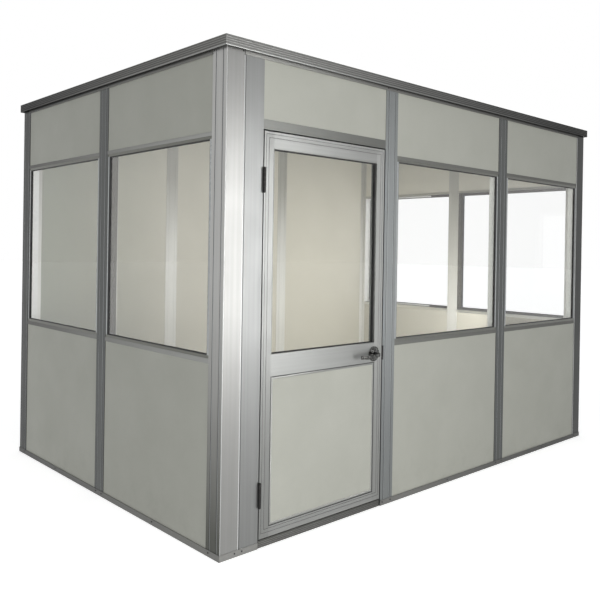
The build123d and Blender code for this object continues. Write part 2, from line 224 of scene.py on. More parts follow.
def darker(color, share):
    return (color[0] * share, color[1] * share, color[2] * share, 1.0)


def room_side(g, depth):
    """1 on what lies deeper in the walls than depth, towards the room, and 0 outside it."""
    x, y, _ = g.axes()
    return g.math(
        "MULTIPLY",
        g.math("LESS_THAN", g.math("ABSOLUTE", x), LENGTH / 2 - depth),
        g.math("LESS_THAN", g.math("ABSOLUTE", y), WIDTH / 2 - depth),
    )


def between(g, low, high):
    """1 where the height is between low and high, and 0 elsewhere."""
    _, _, z = g.axes()
    return g.math("MULTIPLY", g.math("GREATER_THAN", z, low), g.math("LESS_THAN", z, high))


# ---------------------------------------------------------------- materials
# Painted sheen: the paler tone above the floor on the near corner post's left face.
LEFT_FACE_SHEEN_TONE = srgb(172, 172, 170)
# Painted light and shade on the room-side lining: lighter low down, darker higher up.
LINED_LIT_LOW, LINED_SHADED_HIGH = srgb(236, 236, 230), srgb(182, 181, 172)
# How far from the near corner, along x and y, a profile's painted shade has reached its full depth.
FADE_X, FADE_Y = (-1.8, 1.5), (-1.2, 1.0)
# Noise scales across and along a profile, for its fine die lines and its broad bands.
FINE, FINE_RUN = 900, 4
BROAD, BROAD_RUN = 60, 0.7


def along(run, scale, scale_run):
    return tuple(scale_run if axis == run else scale for axis in "xyz")


def aluminium(name, color, run, rough=0.36, metal=0.92, room=True, band=None, fade=None, foot=None,
              reveal=None, grazing=1.0):
    """Satin anodised extrusion: fine die lines along its run, faint cloudiness, soft edges.

    room: its inner faces are lined pale, as the room is, with painted light low down fading to painted
    shade higher up. band: its colour between sill and head, a painted sheen that makes the stops' uprights
    paler.
    fade: its colour far from the near corner, painted darker there as painted shade, with pale rolled
    lines where the cornice has them.
    foot: the painted shade on the near corner post's left face at the floor, rising to a painted sheen
    higher up.
    reveal: the colours beside a window's glass, on the near and the far side; on the side walls, painted
    shade on the near side and painted light on the far side. grazing: how much it mirrors at a low angle.
    """
    g = Graph(name)
    tangent = g.tree.nodes.new("ShaderNodeTangent")
    tangent.direction_type = "RADIAL"
    tangent.axis = "Z"
    g.set(
        Tangent=tangent.outputs[0],
        Anisotropic=0.45,
        Anisotropic_Rotation=0.0 if run == "z" else 0.25,
        Specular_Tint=grey(grazing),
    )
    metallic = metal
    x, y, z = g.axes()
    if band:
        # Painted sheen: the stops' uprights between sill and head are painted paler than their sill and
        # head pieces.
        color = g.mix(between(g, SILL + STOP_RISE, HEAD - STOP_RISE), color, band)
    if foot:
        # Painted shade and sheen: the near corner post's left face is painted dark at the floor and paler
        # higher up.
        outer_left = g.math("LESS_THAN", x, 0.002 - LENGTH / 2)
        color = g.mix(outer_left, color, g.mix(g.span(z, 0.1, 1.35, 0.0, 1.0), foot, LEFT_FACE_SHEEN_TONE))
    if fade:
        # Painted shade: the profile is painted darker away from the near corner.
        away = g.math("ADD", g.span(x, *FADE_X, 0.0, 1.0), g.span(y, *FADE_Y, 0.0, 1.0))
        color = g.mix(g.span(away, 0.0, 1.0, 0.0, 1.0), color, fade)
        for level in CORNICE_LINES:
            off = g.math("ABSOLUTE", g.math("SUBTRACT", z, level))
            color = g.mix(g.span(off, 0.0008, 0.0020, 0.07, 0.0), color, grey(1.0))
    if room:
        inside = room_side(g, DEPTH - 0.003)
        # The lining is painted lighter low down and darker higher up, as painted light and shade.
        color = g.mix(inside, color, g.mix(g.span(z, 0.9, 2.1, 0.0, 1.0), LINED_LIT_LOW, LINED_SHADED_HIGH))
        metallic = g.span(inside, 0.0, 1.0, metal, 0.30)
    if reveal:
        near, far = reveal
        beside = g.math("MULTIPLY", between(g, SILL + 0.001, HEAD - 0.001), room_side(g, 0.016))
        # Painted shade and light: on the side walls the near bay's reveal is painted dark and the far
        # bay's pale.
        color = g.mix(beside, color, g.mix(g.math("GREATER_THAN", y, 0.3), near, far))
        metallic = g.span(beside, 0.0, 1.0, metal, 0.0)
        g.set(Specular_IOR_Level=g.span(beside, 0.0, 1.0, 0.5, 0.05))
    lines = g.noise(1.0, 2.0, 0.6, along(run, FINE, FINE_RUN))
    bands = g.noise(1.0, 3.0, 0.5, along(run, BROAD, BROAD_RUN))
    cloud = g.noise(2.2, 4.0, 0.55)
    tone = g.mix(g.span(bands, 0.3, 0.7, 0.9, 0.0), color, grey(0.88), "MULTIPLY")
    tone = g.mix(g.span(cloud, 0.35, 0.7, 0.0, 0.35), tone, grey(0.86), "MULTIPLY")
    roughness = g.math(
        "ADD", g.span(lines, 0.3, 0.7, rough - 0.05, rough + 0.05), g.span(cloud, 0.3, 0.7, -0.03, 0.04)
    )
    height = g.math("ADD", g.math("MULTIPLY", lines, 0.6), g.math("MULTIPLY", bands, 0.4))
    normal = g.bump(height, 0.12, 0.0002, g.soft_edge(0.0009))
    g.set(Base_Color=tone, Metallic=metallic, Roughness=roughness, Normal=normal)
    return g.material


def wall_vinyl(name, outside):
    """Embossed vinyl facing: leather-fine grain, slight mottling, warmer on the room side, with painted
    shade towards the room side's left end.
    """
    g = Graph(name)
    x, _, z = g.axes()
    # Painted shade: the room side is painted darker towards its left end, below x = -0.6.
    inside = g.mix(g.span(x, -1.7, -0.6, 0.0, 1.0), srgb(131, 136, 114), srgb(204, 201, 187))
    base = g.mix(room_side(g, DEPTH / 2), outside, inside)
    mottle = g.noise(3.5, 5.0, 0.6)
    speck = g.noise(420.0, 2.0, 0.6)
    base = g.mix(g.span(mottle, 0.35, 0.65, 0.0, 0.22), base, (0.80, 0.80, 0.78, 1), "MULTIPLY")
    base = g.mix(g.span(speck, 0.35, 0.7, 0.0, 0.12), base, (0.70, 0.70, 0.68, 1), "MULTIPLY")
    scuff = g.math(
        "MULTIPLY", g.span(z, 0.05, 0.30, 1.0, 0.0), g.span(g.noise(9.0, 5.0, 0.7), 0.5, 0.75, 0.0, 0.16)
    )
    base = g.mix(scuff, base, srgb(120, 118, 110))
    wave = g.bump(g.noise(1.3, 2.0, 0.5), 0.25, 0.004)
    g.set(
        Base_Color=base,
        Roughness=g.span(mottle, 0.3, 0.7, 0.52, 0.62),
        Specular_IOR_Level=0.35,
        Normal=g.bump(g.cells(700.0, "Distance"), 0.06, 0.0003, wave),
    )
    return g.material


def clear_glass(name, tint):
    """Flat clear glass with faint smears in its gloss."""
    g = Graph(name)
    smear = g.noise(2.6, 5.0, 0.65, (1, 1, 0.45), 0.6)
    g.set(
        Base_Color=tint,
        Roughness=g.span(smear, 0.45, 0.8, 0.0, 0.03),
        Normal=g.bump(g.noise(1.1, 1.0, 0.4), 0.05, 0.002),
        Transmission_Weight=1.0,
        IOR=1.45,
        Specular_IOR_Level=0.06,
    )
    return g.material


def rubber(name, color):
    """Matt black gasket: fine pores and a little dust."""
    g = Graph(name)
    pores = g.noise(900.0, 2.0, 0.5)
    dust = g.noise(30.0, 5.0, 0.7)
    tone = g.mix(g.span(dust, 0.45, 0.8, 0.0, 0.35), color, srgb(74, 73, 70))
    g.set(Base_Color=tone, Roughness=g.span(dust, 0.3, 0.8, 0.56, 0.76))
    g.set(Normal=g.bump(pores, 0.25, 0.0002, g.soft_edge(0.0006)))
    return g.material


def dark_metal(name, color, rough, metallic):
    """Dark coated steel, worn lighter in patches."""
    g = Graph(name)
    wear = g.noise(55.0, 5.0, 0.7)
    fine = g.noise(700.0, 2.0, 0.5)
    tone = g.mix(g.span(wear, 0.56, 0.78, 0.0, 0.55), color, srgb(96, 95, 93))
    g.set(Base_Color=tone, Metallic=metallic, Roughness=g.span(wear, 0.3, 0.7, rough - 0.08, rough + 0.1))
    g.set(Normal=g.bump(fine, 0.12, 0.0002, g.soft_edge(0.0008)))
    return g.material


def nickel(name, color, rough):
    """Satin nickel hardware with fine turned lines, and dark patches painted in as painted reflections."""
    g = Graph(name)
    turned = g.noise(1.0, 2.0, 0.5, (900, 900, 900))
    # Painted reflection: the dark patches stand in for dark surroundings mirrored in the nickel.
    patch = g.noise(95.0, 3.0, 0.6)
    tone = g.mix(g.span(patch, 0.42, 0.56, 0.0, 1.0), color, darker(color, 0.22))
    g.set(Base_Color=tone, Metallic=1.0, Roughness=g.span(patch, 0.3, 0.7, rough - 0.05, rough + 0.09))
    g.set(Normal=g.bump(turned, 0.08, 0.0001, g.soft_edge(0.0012)))
    return g.material


def galvanised(name, color):
    """Zinc-coated deck sheet: spangle, dull bloom and faint streaks along the ribs."""
    g = Graph(name)
    spangle = g.math("MULTIPLY", g.cells(70.0, "Color"), 1.0)  # one number from the cells' colours
    bloom = g.noise(3.0, 6.0, 0.65)
    streak = g.noise(1.0, 3.0, 0.6, (40, 1.5, 40))
    tone = g.mix(g.span(spangle, 0.0, 1.0, 0.0, 0.35), color, darker(color, 0.72))
    tone = g.mix(g.span(bloom, 0.4, 0.75, 0.0, 0.45), tone, srgb(186, 188, 188))
    tone = g.mix(g.span(streak, 0.5, 0.8, 0.0, 0.3), tone, darker(color, 0.62))
    roughness = g.math(
        "ADD", g.span(spangle, 0.0, 1.0, 0.30, 0.46), g.span(bloom, 0.4, 0.8, 0.0, 0.2)
    )
    g.set(Base_Color=tone, Metallic=0.85, Roughness=roughness)
    g.set(Normal=g.bump(g.math("ADD", spangle, streak), 0.06, 0.0004))
    return g.material


front_reveal = (srgb(206, 208, 201), srgb(206, 208, 201))
# Painted shade on the near bay's reveal and painted light on the far bay's reveal of the side windows.
side_reveal_shade_and_light = (srgb(84, 82, 74), srgb(234, 235, 232))
# A painted sheen for the stops' uprights, paler than their sill and head pieces.
stop_sheen_band = srgb(158, 161, 161)
# Painted shade: the cornice and its lines and lip are painted darker far from the near corner.
cornice_far_shade = dict(room=False, fade=srgb(26, 26, 25), grazing=0.7)
line_far_shade = dict(room=False, fade=srgb(40, 40, 38), grazing=0.7)
M = {
    # posts, tracks and the door's frame
    "al_x": aluminium("satin_aluminium_x", srgb(100, 101, 98), "x"),
    "al_z": aluminium("satin_aluminium_z", srgb(84, 86, 85), "z"),
    # Lit and shaded copies of one extrusion: the near corner post and the hinge jamb are painted paler as
    # if lit, the far corners darker as painted shade.
    "corner": aluminium("corner_aluminium", srgb(142, 142, 140), "z", 0.40, foot=srgb(84, 85, 80)),
    "far": aluminium("shaded_far_corner_aluminium", srgb(60, 61, 60), "z"),
    "latch": aluminium("latch_side_aluminium", srgb(117, 120, 120), "z"),
    "jamb": aluminium("jamb_aluminium", srgb(130, 131, 130), "z", 0.42),
    "dark_sill": aluminium("threshold_aluminium", srgb(84, 84, 81), "x", 0.45),
    # The tracks and the window frames below are painted darker far from the near corner, as painted shade.
    "track_x": aluminium("track_aluminium_x", srgb(130, 130, 127), "x", fade=srgb(70, 70, 68)),
    "track_y": aluminium("track_aluminium_y", srgb(118, 118, 115), "y", fade=srgb(66, 66, 64)),
    "cornice_x": aluminium("cornice_aluminium_x", srgb(107, 107, 105), "x", 0.44, **cornice_far_shade),
    "cornice_y": aluminium("cornice_aluminium_y", srgb(100, 100, 97), "y", 0.44, **cornice_far_shade),
    # windows
    "frame_x": aluminium(
        "frame_aluminium_x", srgb(128, 129, 125), "x", fade=srgb(82, 82, 78), reveal=front_reveal
    ),
    "frame_y": aluminium(
        "frame_aluminium_y", srgb(148, 149, 146), "y", fade=srgb(72, 72, 68), reveal=side_reveal_shade_and_light
    ),
    "stop_x": aluminium(
        "stop_aluminium_x", srgb(112, 113, 108), "x", 0.3, band=stop_sheen_band, reveal=front_reveal
    ),
    "stop_y": aluminium(
        "stop_aluminium_y", srgb(106, 107, 101), "y", 0.3, band=stop_sheen_band, reveal=side_reveal_shade_and_light
    ),
    # door leaf
    "door_x": aluminium("door_aluminium_x", srgb(134, 135, 133), "x", 0.40, room=False),
    "door_z": aluminium("door_aluminium_z", srgb(131, 132, 130), "z", 0.40, room=False),
    "bead": aluminium("bead_aluminium", srgb(140, 141, 138), "x", 0.42, room=False),
    # fine lines and beads
    # Painted highlight: paler than the posts, for the fine raised lines beside their flutes.
    "stop_z": aluminium("line_aluminium", srgb(150, 153, 154), "z", 0.3, metal=0.5),
    # Painted highlight: nearly white, for the beads down the corner posts' edges.
    "bright": aluminium("highlight_aluminium", srgb(212, 213, 213), "z", 0.3, metal=0.35),
    # Painted highlight along the cornice lip, fading to painted shade far from the near corner.
    "lip": aluminium("lip_highlight_aluminium", srgb(152, 153, 151), "x", 0.36, metal=0.6, **line_far_shade),
    "line_x": aluminium("rolled_line_aluminium", srgb(124, 124, 122), "x", 0.4, metal=0.7, **line_far_shade),
    # the rest
    "wall": wall_vinyl("wall_vinyl", srgb(178, 179, 170)),
    "door_panel": wall_vinyl("door_vinyl", srgb(181, 182, 173)),
    "glass": clear_glass("clear_glass", (0.997, 1.0, 0.999, 1)),
    "rubber": rubber("black_gasket", srgb(26, 26, 26)),
    "hinge": dark_metal("dark_hinge_steel", srgb(34, 33, 32), 0.42, 0.6),
    "screw": dark_metal("screw_steel", srgb(60, 60, 60), 0.35, 0.8),
    "nickel": nickel("satin_nickel", srgb(104, 104, 102), 0.13),
    "deck": galvanised("galvanised_deck", srgb(158, 162, 164)),
}


# ---------------------------------------------------------------- materials on the CAD nodes
DRESS = {
    "corner_post_front_left": "corner",
    # The far corners take the darker copy, as painted shade.
    "corner_post_front_right": "far",
    "corner_post_back_left": "far",
    "corner_post_back_right": "far",
    "front_post": "al_z",
    "right_wall_post": "al_z",
    "left_wall_post": "al_z",
    "back_wall_posts": "al_z",
    "back_wall_panels": "wall",
    "latch_post": "latch",
    "door_transom_panel": "wall",
    "door_hinge_jamb": "jamb",
    "door_latch_jamb": "latch",
    "door_head": "al_x",
    "door_threshold": "dark_sill",
    "strike_plate": "hinge",
    "frame_hinge_leaves": "hinge",
    "door_hinge_leaves": "hinge",
    "door_stiles": "door_z",
    "door_rails": "door_x",
    "door_lower_panel": "door_panel",
    "door_glass": "glass",
    "door_glass_gaskets": "rubber",
    "door_lock": "nickel",
    "door_lever": "nickel",
    "roof_deck": "deck",
}
for wall, axis in (("front", "x"), ("back", "x"), ("left", "y"), ("right", "y")):
    DRESS[f"base_track_{wall}"] = f"track_{axis}"
    DRESS[f"top_track_{wall}"] = f"track_{axis}"
    DRESS[f"cornice_{wall}"] = f"cornice_{axis}"
    if wall != "back":
        DRESS[f"{wall}_window_frames"] = f"frame_{axis}"
        DRESS[f"{wall}_glazing_stops"] = f"stop_{axis}"
        DRESS[f"{wall}_window_glass"] = "glass"
        DRESS[f"{wall}_wall_panels"] = "wall"
for node, key in DRESS.items():
    nodes[node].data.materials.clear()
    nodes[node].data.materials.append(M[key])
    if key == "glass":
        nodes[node].visible_shadow = False


# ---------------------------------------------------------------- mesh helpers
def finish_piece(name, bm, material, body, smooth_angle=35):
    bmesh.ops.remove_doubles(bm, verts=bm.verts, dist=1e-6)
    bmesh.ops.recalc_face_normals(bm, faces=bm.faces)
    mesh = bpy.data.meshes.new(name)
    bm.to_mesh(mesh)
    bm.free()
    mesh.materials.append(M[material])
    mesh.polygons.foreach_set("use_smooth", [True] * len(mesh.polygons))
    mesh.set_sharp_from_angle(angle=math.radians(smooth_angle))
    obj = bpy.data.objects.new(name, mesh)
    scene.collection.objects.link(obj)
    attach(obj, body)


def skin(bm, rows):
    """Joins closed rows of vertices one after another, and closes both ends."""
    count = len(rows[0])
    for a, b in zip(rows, rows[1:]):
        for i in range(count):
            j = (i + 1) % count
            bm.faces.new((a[i], a[j], b[j], b[i]))
    bm.faces.new(list(reversed(rows[0])))
    bm.faces.new(rows[-1])


def add_loop(bm, wall, u0, u1, z0, z1, profile, sides="brtl"):
    """Sweeps a closed profile of (inset, v) points round a rectangle with mitred corners.

    sides names those that are made: b bottom, r right, t top, l left.
    """
    rings = []
    for inset, v in profile:
        left, right, low, high = u0 + inset, u1 - inset, z0 + inset, z1 - inset
        corners = [(left, low), (right, low), (right, high), (left, high)]
        rings.append([bm.verts.new(wall_point(wall, u, v, z)) for u, z in corners])
    for k, side in enumerate("brtl"):
        if side in sides:
            for a, b in zip(rings, rings[1:] + rings[:1]):
                bm.faces.new((a[k], a[(k + 1) % 4], b[(k + 1) % 4], b[k]))


def add_arch(bm, wall, u0, u1, z0, z1, profile):
    """Sweeps a closed profile up the left side, across the top and down the right, with closed ends."""
    rings = []
    for inset, v in profile:
        left, right, high = u0 + inset, u1 - inset, z1 - inset
        corners = [(left, z0), (left, high), (right, high), (right, z0)]
        rings.append([bm.verts.new(wall_point(wall, u, v, z)) for u, z in corners])
    skin(bm, [list(row) for row in zip(*rings)])


def add_box(bm, wall, u0, u1, v0, v1, z0, z1, bevel=0.0):
    made = []
    for z in (z0, z1):
        for u, v in ((u0, v0), (u1, v0), (u1, v1), (u0, v1)):
            made.append(bm.verts.new(wall_point(wall, u, v, z)))
    faces = [(0, 1, 2, 3), (4, 5, 6, 7), (0, 1, 5, 4), (1, 2, 6, 5), (2, 3, 7, 6), (3, 0, 4, 7)]
    new = [bm.faces.new([made[i] for i in f]) for f in faces]
    if bevel:
        edges = list(dict.fromkeys(e for f in new for e in f.edges))
        bmesh.ops.bevel(bm, geom=edges, offset=bevel, segments=2, affect="EDGES", profile=0.6)


def half_round(half, rise, buried):
    """A bead's section as (along the face, out from it) points, its foot sunk below the face."""
    return [
        (-half, -buried), (-half, 0.0002), (-half * 0.6, rise * 0.8), (0.0, rise),
        (half * 0.6, rise * 0.8), (half, 0.0002), (half, -buried),
    ]


def post_bead(bm, wall, u, z0, z1, half=0.0014, rise=0.0008):
    """A half-round upright bead on the wall's outer face."""
    section = half_round(half, rise, 0.0003)
    skin(bm, [[bm.verts.new(wall_point(wall, u + a, -out, z)) for a, out in section] for z in (z0, z1)])


def cornice_bead(bm, offset, z, half, rise):
    """A half-round bead round all four walls, on a face that stands offset outside them."""
    rings = []
    for dz, out in half_round(half, rise, 0.0003):
        a, b = LENGTH / 2 + offset + out, WIDTH / 2 + offset + out
        rings.append([bm.verts.new((x, y, z + dz)) for x, y in ((-a, -b), (a, -b), (a, b), (-a, b))])
    for k in range(4):
        for p, q in zip(rings, rings[1:] + rings[:1]):
            bm.faces.new((p[k], p[(k + 1) % 4], q[(k + 1) % 4], q[k]))


def add_turned(bm, centre, normal, profile, segments=20, spin=0.0, hexes=()):
    """Turns (radius, height) points about normal; the rows named in hexes are six-sided."""
    n = Vector(normal).normalized()
    side = n.cross(Vector((0, 0, 1)))
    if side.length < 0.1:
        side = Vector((1, 0, 0))
    side.normalize()
    up = n.cross(side)
    wedge = math.radians(60)
    rows = []
    for index, (radius, height) in enumerate(profile):
        row = []
        for k in range(segments):
            angle = 2 * math.pi * k / segments + spin
            r = radius
            if index in hexes:
                local = (angle - spin) % wedge - wedge / 2
                r = radius * math.cos(wedge / 2) / math.cos(local)
            across = side * (r * math.cos(angle)) + up * (r * math.sin(angle))
            row.append(bm.verts.new(centre + across + n * height))
        rows.append(row)
    skin(bm, rows)


HEX_HEAD = [
    (0.0052, 0.0), (0.0056, 0.0006), (0.0050, 0.0010), (0.0038, 0.0011),
    (0.0038, 0.0034), (0.0033, 0.0039), (0.0020, 0.0039), (0.0016, 0.0034),
]
PAN_HEAD = [
    (0.0045, 0.0), (0.0046, 0.0007), (0.0042, 0.0015), (0.0032, 0.0022),
    (0.0019, 0.0025), (0.0013, 0.0024), (0.0009, 0.0010),
]


def add_hex_screw(bm, centre, normal, rng, size):
    """A washer-faced hexagon screw head."""
    profile = [(radius * size, height * size) for radius, height in HEX_HEAD]
    add_turned(bm, centre, normal, profile, 24, rng.uniform(0, 1), hexes=(3, 4, 5))


def add_pan_screw(bm, centre, normal, rng, size):
    """A low domed screw head with a recess."""
    profile = [(radius * size, height * size) for radius, height in PAN_HEAD]
    add_turned(bm, centre, normal, profile, 20, rng.uniform(0, 1), hexes=(5, 6))


# ---------------------------------------------------------------- window gaskets
# Wedge gaskets between the stops and the glass, outside and inside.
GASKETS = (
    [(-0.0008, 0.0100), (-0.0008, 0.0032), (0.0012, 0.0024), (0.0032, 0.0034), (0.0062, 0.0096),
     (0.0062, 0.0100)],
    [(-0.0008, 0.0160), (0.0062, 0.0160), (0.0062, 0.0164), (0.0032, 0.0226), (0.0012, 0.0236),
     (-0.0008, 0.0228)],
)
for wall in ("front", "right", "left"):
    bm = bmesh.new()
    for u0, u1 in windows(wall):
        for profile in GASKETS:
            add_loop(bm, wall, u0 + STOP_SIDE, u1 - STOP_SIDE, SILL + STOP_RISE, HEAD - STOP_RISE, profile)
    finish_piece(f"{wall}_window_gaskets", bm, "rubber", "office", 50)

# Thin setting joint between each glazing stop and the frame beside it.
STOP_JOINT = [(0.0, 0.0046), (0.0, 0.0095), (0.0020, 0.0095), (0.0020, 0.0046), (0.0010, 0.0040)]
for wall in ("front", "right", "left"):
    bm = bmesh.new()
    for u0, u1 in windows(wall):
        add_loop(bm, wall, u0, u1, SILL - 0.0018, HEAD + 0.0018, STOP_JOINT, "rl")
    finish_piece(f"{wall}_stop_joints", bm, "rubber", "office", 50)

# ---------------------------------------------------------------- door seals and trim
FRAME_SEAL = [
    (0.0012, 0.0490), (0.0012, 0.0462), (0.0030, 0.0451), (0.0070, 0.0449), (0.0092, 0.0459),
    (0.0096, 0.0490),
]
bm = bmesh.new()
add_arch(bm, "front", JAMB_LEFT, JAMB_RIGHT, 0.040, HEAD_BOTTOM, FRAME_SEAL)
finish_piece("door_frame_seal", bm, "rubber", "office", 50)

# Sweep on the inner face of the bottom rail, and the strip that holds it.
bm = bmesh.new()
add_box(bm, "front", LEAF_LEFT + 0.010, LEAF_RIGHT - 0.010, 0.0440, 0.0462, 0.052, 0.082, 0.0006)
finish_piece("door_sweep_holder", bm, "door_x", "door")
bm = bmesh.new()
add_box(bm, "front", LEAF_LEFT + 0.011, LEAF_RIGHT - 0.011, 0.0441, 0.0458, 0.0395, 0.054, 0.0004)
finish_piece("door_sweep", bm, "rubber", "door")

# Glazing beads round the door glass, outside and inside.
GLASS_TRIM = (
    [(-0.0030, 0.0000), (-0.0030, -0.0012), (-0.0022, -0.0016), (0.0006, -0.0012), (0.0012, 0.0000),
     (0.0012, 0.0030), (0.0, 0.0030), (0.0, 0.0)],
    [(0.0, 0.0440), (0.0, 0.0410), (0.0012, 0.0410), (0.0012, 0.0440), (0.0006, 0.0452),
     (-0.0022, 0.0456), (-0.0030, 0.0452), (-0.0030, 0.0440)],
)
bm = bmesh.new()
for profile in GLASS_TRIM:
    add_loop(bm, "front", *DOOR_GLASS, profile)
finish_piece("door_glass_trim", bm, "bead", "door", 40)

# ---------------------------------------------------------------- hardware
bm = bmesh.new()
add_box(
    bm, "front", LEAF_RIGHT - 0.0002, LEAF_RIGHT + 0.0012, 0.0080, 0.0360,
    LOCK_Z - 0.0285, LOCK_Z + 0.0285, 0.0005,
)
rng = random.Random(5)
for dz in (-0.021, 0.021):
    add_pan_screw(bm, wall_point("front", LEAF_RIGHT + 0.0010, 0.022, LOCK_Z + dz), (1, 0, 0), rng, 0.75)
finish_piece("lock_faceplate", bm, "nickel", "door")

# Bevelled latch bolt, held back from its keeper.
bm = bmesh.new()
u0, u1 = LEAF_RIGHT + 0.0006, LEAF_RIGHT + 0.0060
section = [(u0, 0.0150), (u1, 0.0150), (u1, 0.0180), (u0, 0.0280)]
levels = (LOCK_Z - 0.0095, LOCK_Z + 0.0095)
skin(bm, [[bm.verts.new(wall_point("front", u, v, z)) for u, v in section] for z in levels])
bmesh.ops.bevel(bm, geom=list(bm.edges), offset=0.0006, segments=2, affect="EDGES")
finish_piece("latch_bolt", bm, "nickel", "door")

# Countersunk screws in the hinge plates, and the strike's two screws.
rng = random.Random(11)
bm_frame = bmesh.new()
bm_leaf = bmesh.new()
for bottom in HINGE_BOTTOMS:
    for dz, v in ((0.020, 0.014), (0.060, 0.026), (0.100, 0.014)):
        z = bottom + dz
        add_pan_screw(bm_frame, wall_point("front", JAMB_LEFT + 0.0024, v, z), (1, 0, 0), rng, 0.62)
        add_pan_screw(bm_leaf, wall_point("front", LEAF_LEFT - 0.0024, v, z), (-1, 0, 0), rng, 0.62)
for dz in (-0.032, 0.032):
    at = wall_point("front", JAMB_RIGHT + 0.0002, 0.018, LOCK_Z + dz)
    add_pan_screw(bm_frame, at, (-1, 0, 0), rng, 0.75)
finish_piece("frame_hardware_screws", bm_frame, "screw", "office")
finish_piece("hinge_screws_door", bm_leaf, "screw", "door")

# Turned tips over the hinge pins' ends.
PIN_TIP = [(0.0040, -0.0025), (0.0062, -0.0022), (0.0064, -0.0006), (0.0052, 0.0008), (0.0024, 0.0016)]
bm = bmesh.new()
for bottom in HINGE_BOTTOMS:
    for z, up in ((bottom - 0.0030, -1), (bottom + HINGE_HEIGHT + 0.0030, 1)):
        add_turned(bm, wall_point("front", PIN_U, PIN_V, z), (0, 0, up), PIN_TIP)
finish_piece("hinge_pin_tips", bm, "hinge", "office")

# ---------------------------------------------------------------- track and deck screws
rng = random.Random(23)
bm = bmesh.new()
for wall, count in BAYS.items():
    spots = [0.090, count * BAY - 0.090]
    for k in range(1, count):
        spots += [k * BAY - 0.036, k * BAY + 0.036]
    for k in range(count):
        spots.append((k + 0.5) * BAY)
    if wall == "front":
        spots = [u for u in spots if not JAMB_LEFT < u < JAMB_RIGHT]
    for u in spots:
        add_hex_screw(bm, wall_point(wall, u, -SKIN, 0.019), WALL_NORMAL[wall], rng, 0.85)
add_hex_screw(bm, wall_point("front", 0.135, -SKIN, 0.019), WALL_NORMAL["front"], rng, 0.85)
finish_piece("base_track_screws", bm, "screw", "office")

bm = bmesh.new()
for wall, count in BAYS.items():
    for k in range(1, count):
        for du in (-0.040, 0.040):
            at = wall_point(wall, k * BAY + du, -SKIN, TOP_LINE + 0.013)
            add_pan_screw(bm, at, WALL_NORMAL[wall], rng, 0.8)
    for u in (0.100, count * BAY - 0.100):
        add_pan_screw(bm, wall_point(wall, u, 0.0, TOP_LINE + 0.016), WALL_NORMAL[wall], rng, 0.95)
finish_piece("top_track_screws", bm, "screw", "office")

bm = bmesh.new()
reach = DECK_RUN / 2 - 0.012
for k in range(DECK_RIBS + 1):
    x = min(max(-DECK_RUN / 2 + k * DECK_PITCH, -reach), reach)
    for y in (-1.120, -0.560, 0.0, 0.560, 1.120):
        add_hex_screw(bm, Vector((x, y, DECK_Z)), (0, 0, 1), rng, 1.1)
finish_piece("deck_screws", bm, "screw", "office")

# Side laps of the deck sheets: the upper sheet's turned edge along every sixth trough.
SIDE_LAP = [(-0.0100, 0.0001), (-0.0100, 0.0011), (0.0040, 0.0013), (0.0056, 0.0005), (0.0056, 0.0001)]
bm = bmesh.new()
for k in range(6, DECK_RIBS, 6):
    x = -DECK_RUN / 2 + k * DECK_PITCH + 0.018
    skin(bm, [[bm.verts.new((x + dx, y, DECK_Z + dz)) for dx, dz in SIDE_LAP] for y in (-1.214, 1.214)])
finish_piece("deck_side_laps", bm, "deck", "office")

# ---------------------------------------------------------------- joints and slim trim
# Slim dark sealing lines where a post's flange laps a panel.
bm = bmesh.new()
for wall, count in BAYS.items():
    full = [(TRACK_Z, TOP_LINE)]
    under_and_over = [(TRACK_Z, SILL - 0.025), (HEAD + 0.020, TOP_LINE)]
    edges = [bay_edges(wall, k) for k in range(count)] if wall == "back" else windows(wall)
    for u0, u1 in edges:
        for z0, z1 in full if wall == "back" else under_and_over:
            add_box(bm, wall, u0 - 0.0002, u0 + 0.0016, 0.0012, SKIN + 0.0004, z0, z1)
            add_box(bm, wall, u1 - 0.0016, u1 + 0.0002, 0.0012, SKIN + 0.0004, z0, z1)
finish_piece("panel_edge_seals", bm, "rubber", "office")

# Pale beads down the free edges of the corner posts' plain faces, and down their arrises, as painted
# highlights.
bm = bmesh.new()
for wall in ("front", "back"):
    for u in (CORNER - 0.0016, LENGTH - CORNER + 0.0016):
        post_bead(bm, wall, u, TRACK_Z, TOP_LINE - 0.002, 0.0022, 0.0012)
for wall in ("front", "back"):
    for u in (0.0026, LENGTH - 0.0026):
        post_bead(bm, wall, u, TRACK_Z, POST_TOP, 0.0013, 0.0008)
finish_piece("corner_highlight_beads", bm, "bright", "office", 60)

# Rolled lines along the cornice's fascia, and its lip, whose bead is painted pale as a painted highlight.
bm = bmesh.new()
for z in CORNICE_LINES:
    cornice_bead(bm, CORNICE_OUT, z, 0.0024, 0.0013)
finish_piece("cornice_lines", bm, "line_x", "office", 60)
bm = bmesh.new()
cornice_bead(bm, CORNICE_OUT - 0.0001, LIP_Z, 0.0046, 0.0014)
finish_piece("cornice_lip_bead", bm, "lip", "office", 60)

# Grip ribs on the threshold's front and top.
bm = bmesh.new()
u0, u1 = JAMB_LEFT + 0.0065, JAMB_RIGHT - 0.0065
for z in (0.010, 0.019, 0.028):
    add_box(bm, "front", u0, u1, 0.0028, 0.0042, z - 0.0014, z + 0.0014, 0.0005)
for v in (0.014, 0.022, 0.030, 0.038):
    add_box(bm, "front", u0, u1, v - 0.0014, v + 0.0014, 0.0378, 0.0390, 0.0004)
finish_piece("threshold_ribs", bm, "line_x", "office")

